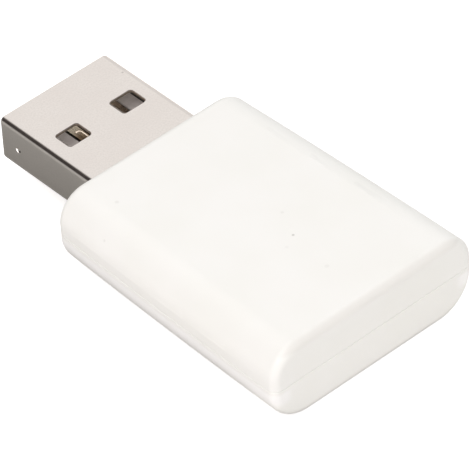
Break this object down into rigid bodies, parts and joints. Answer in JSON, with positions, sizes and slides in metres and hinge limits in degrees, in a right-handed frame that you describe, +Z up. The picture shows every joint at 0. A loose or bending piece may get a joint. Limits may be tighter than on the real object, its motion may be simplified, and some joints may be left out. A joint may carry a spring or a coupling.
{
  "type": "signal repeater",
  "caption": "Small plug-in radio signal repeater: white two-shell housing with rounded long edges, flat ends and a metal USB-A plug at one end.",
  "frame": {"origin": "on the bottom plane of the housing, under the middle of the whole length and width", "axes": "+Y the way the plug is pushed in, +Z up out of the flat top with the latch windows, +X across; the bottom is at Z = 0"},
  "size_m": [0.0222, 0.0396, 0.0079],
  "materials": {
    "housing": "fine satin moulded ABS, white",
    "plug_steel": "nickel-plated sheet steel, satin",
    "insulator": "moulded, fibre filled",
    "contact_gold": "gilded copper alloy",
    "board": "glass-fibre board with green solder mask",
    "module": "glass-fibre board with dark blue solder mask",
    "can_steel": "tinned sheet steel",
    "chip_black": "moulded epoxy",
    "crystal_metal": "metal lid on ceramic",
    "antenna_copper": "printed copper, gilded",
    "capacitor_tan": "ceramic with tinned ends",
    "resistor_black": "ceramic with tinned ends",
    "ferrite_grey": "sintered ferrite with tinned ends",
    "fuse_green": "laminated polymer with tinned ends",
    "led_lens": "clear resin lens"
  },
  "bodies": {
    "root": {"upper_shell": "housing", "lower_shell": "housing", "plug_shell": "plug_steel", "plug_insulator": "insulator", "contact_power": "contact_gold", "contact_data_minus": "contact_gold", "contact_data_plus": "contact_gold", "contact_ground": "contact_gold", "main_board": "board", "module_board": "module", "shield_can": "can_steel", "radio_chip": "chip_black", "module_crystal": "crystal_metal", "antenna_trace": "antenna_copper", "antenna_matching_part": "capacitor_tan", "voltage_regulator": "chip_black", "input_capacitor": "capacitor_tan", "output_capacitor": "capacitor_tan", "resettable_fuse": "fuse_green", "surge_diode": "chip_black", "ferrite_bead": "ferrite_grey", "decoupling_capacitor_1": "capacitor_tan", "decoupling_capacitor_2": "capacitor_tan", "decoupling_capacitor_3": "capacitor_tan", "resistor_1": "resistor_black", "resistor_2": "resistor_black", "status_led": "led_lens"}
  },
  "joints": []
}
